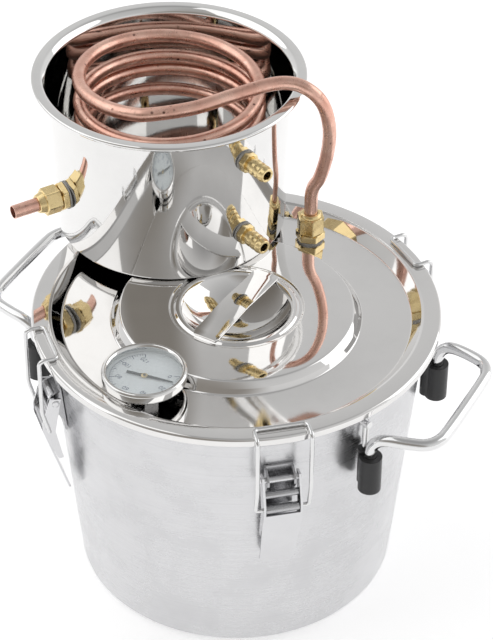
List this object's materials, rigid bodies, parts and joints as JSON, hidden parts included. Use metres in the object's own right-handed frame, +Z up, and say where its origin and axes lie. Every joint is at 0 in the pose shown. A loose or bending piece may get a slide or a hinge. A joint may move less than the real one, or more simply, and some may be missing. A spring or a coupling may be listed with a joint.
{
  "type": "alembic still",
  "caption": "Home still: a lidded steel boiler held by toggle latches, a dial thermometer, and an open condenser pot on top with a copper coil running from a union on the lid to an outlet.",
  "frame": {"origin": "centre of the boiler's base, where it stands", "axes": "+Z up; +X towards the right-hand handle, -Y towards the thermometer side, and the condenser hangs out over -X +Y"},
  "size_m": [0.3488, 0.2981, 0.3343],
  "materials": {
    "boiler_steel": "satin stainless steel sheet",
    "polished_steel": "mirror-polished stainless steel",
    "latch_wire": "bright drawn stainless wire",
    "copper": "bright copper tube with small tarnish specks",
    "brass": "machined yellow brass",
    "black_sleeve": "black moulded heat-resistant plastic",
    "silicone": "translucent white silicone",
    "dial_white": "white enamelled dial with black figures",
    "pointer_black": "black painted pointer",
    "lens_glass": "clear flat glass"
  },
  "bodies": {
    "boiler": {"boiler_pot": "boiler_steel", "handle_rod_right": "polished_steel", "handle_rod_left": "polished_steel", "handle_sleeves": "black_sleeve", "handle_bracket_rods": "boiler_steel", "latch_base_front": "polished_steel", "latch_base_left": "polished_steel", "latch_base_back": "polished_steel", "latch_hinge_pins": "boiler_steel"},
    "lid": {"lid": "polished_steel", "lid_gasket": "silicone", "lid_grip_strap": "polished_steel", "lid_union_body": "brass", "lid_union_lock_nut": "brass", "lid_union_washers": "silicone", "gauge_case": "polished_steel", "gauge_bezel": "polished_steel", "gauge_dial": "dial_white", "gauge_lens": "lens_glass", "gauge_stem": "polished_steel", "gauge_lock_nut": "polished_steel", "gauge_washers": "silicone", "gauge_bimetal_coil": "copper"},
    "pointer": {"gauge_pointer": "pointer_black"},
    "condenser": {"condenser_pot": "polished_steel", "copper_coil": "copper", "inlet_ferrule": "brass", "outlet_bulkhead": "brass", "outlet_lock_nut": "brass", "outlet_washers": "silicone", "outlet_ferrule": "brass", "outlet_compression_nut": "brass", "hose_tail_upper": "brass", "hose_tail_lower": "brass", "hose_tail_lock_nuts": "brass", "hose_tail_washers": "silicone"},
    "union_nut": {"union_nut": "brass"},
    "lever_front": {"latch_lever_front": "polished_steel"},
    "bail_front": {"latch_bail_front": "latch_wire"},
    "lever_left": {"latch_lever_left": "polished_steel"},
    "bail_left": {"latch_bail_left": "latch_wire"},
    "lever_back": {"latch_lever_back": "polished_steel"},
    "bail_back": {"latch_bail_back": "latch_wire"}
  },
  "joints": [
    {"name": "lid_lift", "type": "slide", "parent": "boiler", "child": "lid", "axis": [0, 0, 1], "range_m": [0, 0.02]},
    {"name": "pointer_turn", "type": "hinge", "parent": "lid", "child": "pointer", "pos_m": [-0.01593, -0.09518, 0.2074], "axis": [0, 0, -1], "range_deg": [-20, 250]},
    {"name": "condenser_lift", "type": "slide", "parent": "lid", "child": "condenser", "axis": [0, 0, 1], "range_m": [0, 0.06]},
    {"name": "union_nut_turn", "type": "hinge", "parent": "condenser", "child": "union_nut", "pos_m": [0.00523, 0.09986, 0.2195], "axis": [0, 0, 1], "range_deg": [0, 1080]},
    {"name": "lever_front_swing", "type": "hinge", "parent": "boiler", "child": "lever_front", "pos_m": [0.0826, -0.09844, 0.165], "axis": [-0.766, -0.6428, 0], "range_deg": [0, 130.2]},
    {"name": "bail_front_swing", "type": "hinge", "parent": "lever_front", "child": "bail_front", "pos_m": [0.08657, -0.10317, 0.14598], "axis": [-0.766, -0.6428, 0], "range_deg": [-190.3, 0]},
    {"name": "lever_left_swing", "type": "hinge", "parent": "boiler", "child": "lever_left", "pos_m": [-0.08845, -0.09321, 0.165], "axis": [-0.7254, 0.6884, 0], "range_deg": [0, 130.2]},
    {"name": "bail_left_swing", "type": "hinge", "parent": "lever_left", "child": "bail_left", "pos_m": [-0.09271, -0.09769, 0.14598], "axis": [-0.7254, 0.6884, 0], "range_deg": [-190.3, 0]},
    {"name": "lever_back_swing", "type": "hinge", "parent": "boiler", "child": "lever_back", "pos_m": [0.07462, 0.10461, 0.165], "axis": [0.8141, -0.5807, 0], "range_deg": [0, 130.2]},
    {"name": "bail_back_swing", "type": "hinge", "parent": "lever_back", "child": "bail_back", "pos_m": [0.07821, 0.10965, 0.14598], "axis": [0.8141, -0.5807, 0], "range_deg": [-190.3, 0]}
  ],
  "couplings": [
    {"joint": "lever_front_swing", "follows": "lid_lift", "rad_per_m": 113.45},
    {"joint": "bail_front_swing", "follows": "lid_lift", "rad_per_m": -165.81},
    {"joint": "lever_left_swing", "follows": "lid_lift", "rad_per_m": 113.45},
    {"joint": "bail_left_swing", "follows": "lid_lift", "rad_per_m": -165.81},
    {"joint": "lever_back_swing", "follows": "lid_lift", "rad_per_m": 113.45},
    {"joint": "bail_back_swing", "follows": "lid_lift", "rad_per_m": -165.81}
  ]
}
